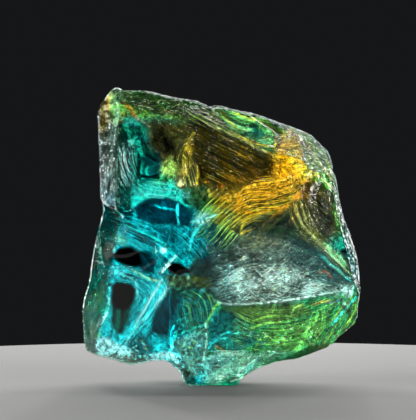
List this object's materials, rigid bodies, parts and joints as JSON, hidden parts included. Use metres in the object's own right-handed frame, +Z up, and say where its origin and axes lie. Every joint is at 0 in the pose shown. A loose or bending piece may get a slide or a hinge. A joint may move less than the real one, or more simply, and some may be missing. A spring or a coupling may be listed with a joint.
{
  "type": "glass chunk",
  "caption": "Rough-broken chunk of clear teal, green and amber glass with ribbed flake scars, standing on a small flat foot.",
  "frame": {"origin": "on the surface that the chunk stands on, below the middle of its box", "axes": "+Z up, -Y towards the viewer of the large front faces, +X to that viewer's right"},
  "size_m": [0.0842, 0.0446, 0.0903],
  "materials": {
    "teal_glass": "polished"
  },
  "bodies": {
    "root": {"glass_chunk": "teal_glass"}
  },
  "joints": []
}
